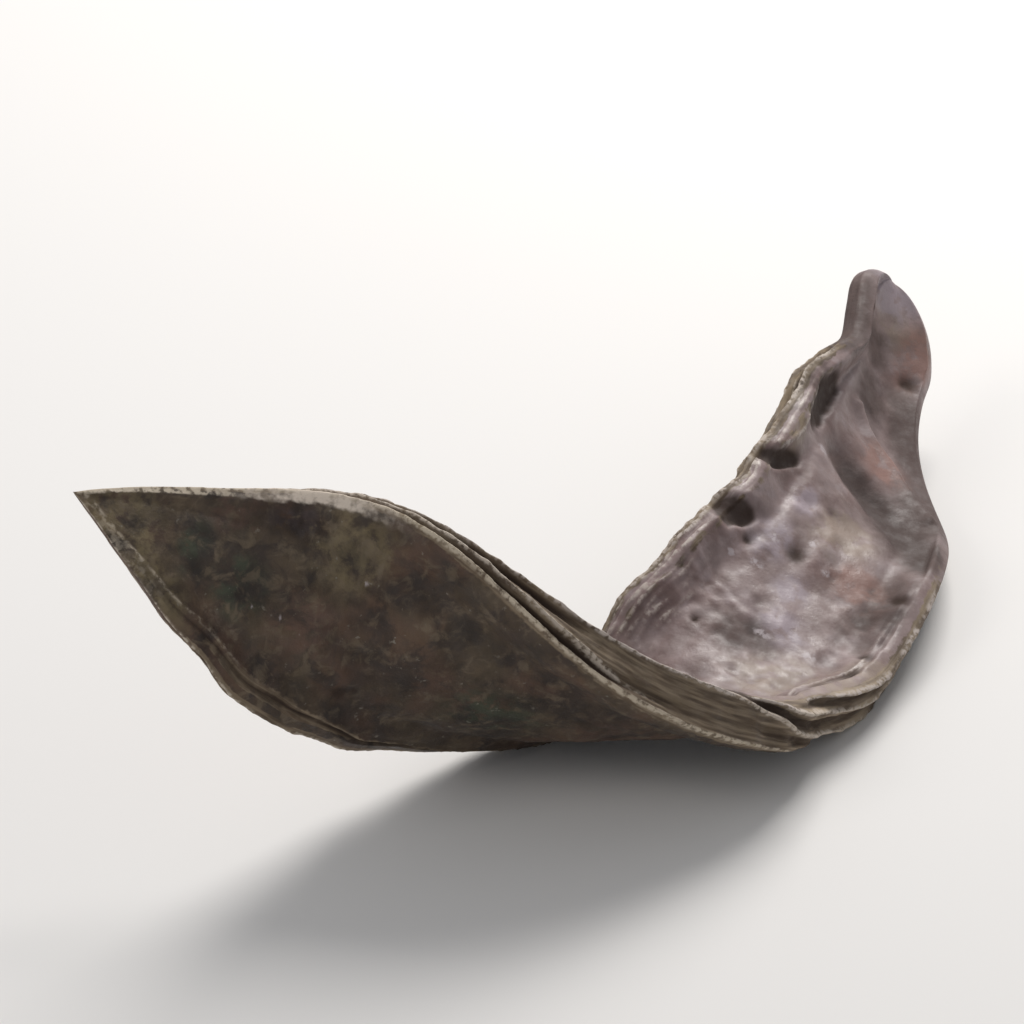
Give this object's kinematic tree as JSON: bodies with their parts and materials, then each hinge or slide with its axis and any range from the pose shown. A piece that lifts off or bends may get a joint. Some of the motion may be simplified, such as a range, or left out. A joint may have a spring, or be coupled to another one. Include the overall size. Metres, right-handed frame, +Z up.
{
  "type": "carob pod",
  "caption": "Dried, twisted flat seed pod with thick ridged edges, a pointed tip and a blunt base.",
  "frame": {"origin": "centre of the bounding box, on the floor plane that the pod rests on", "axes": "+Z up from the floor, the shortest extent; +X from the pointed tip towards the base as the pod lies; +Y away from the side seen in the picture, towards which the blunt base points"},
  "size_m": [0.0892, 0.0894, 0.0371],
  "materials": {
    "husk": "dry leathery husk, dull olive brown to grey brown, semi-matt, with paler tan ridged edges"
  },
  "bodies": {
    "root": {"pod": "husk"}
  },
  "joints": []
}
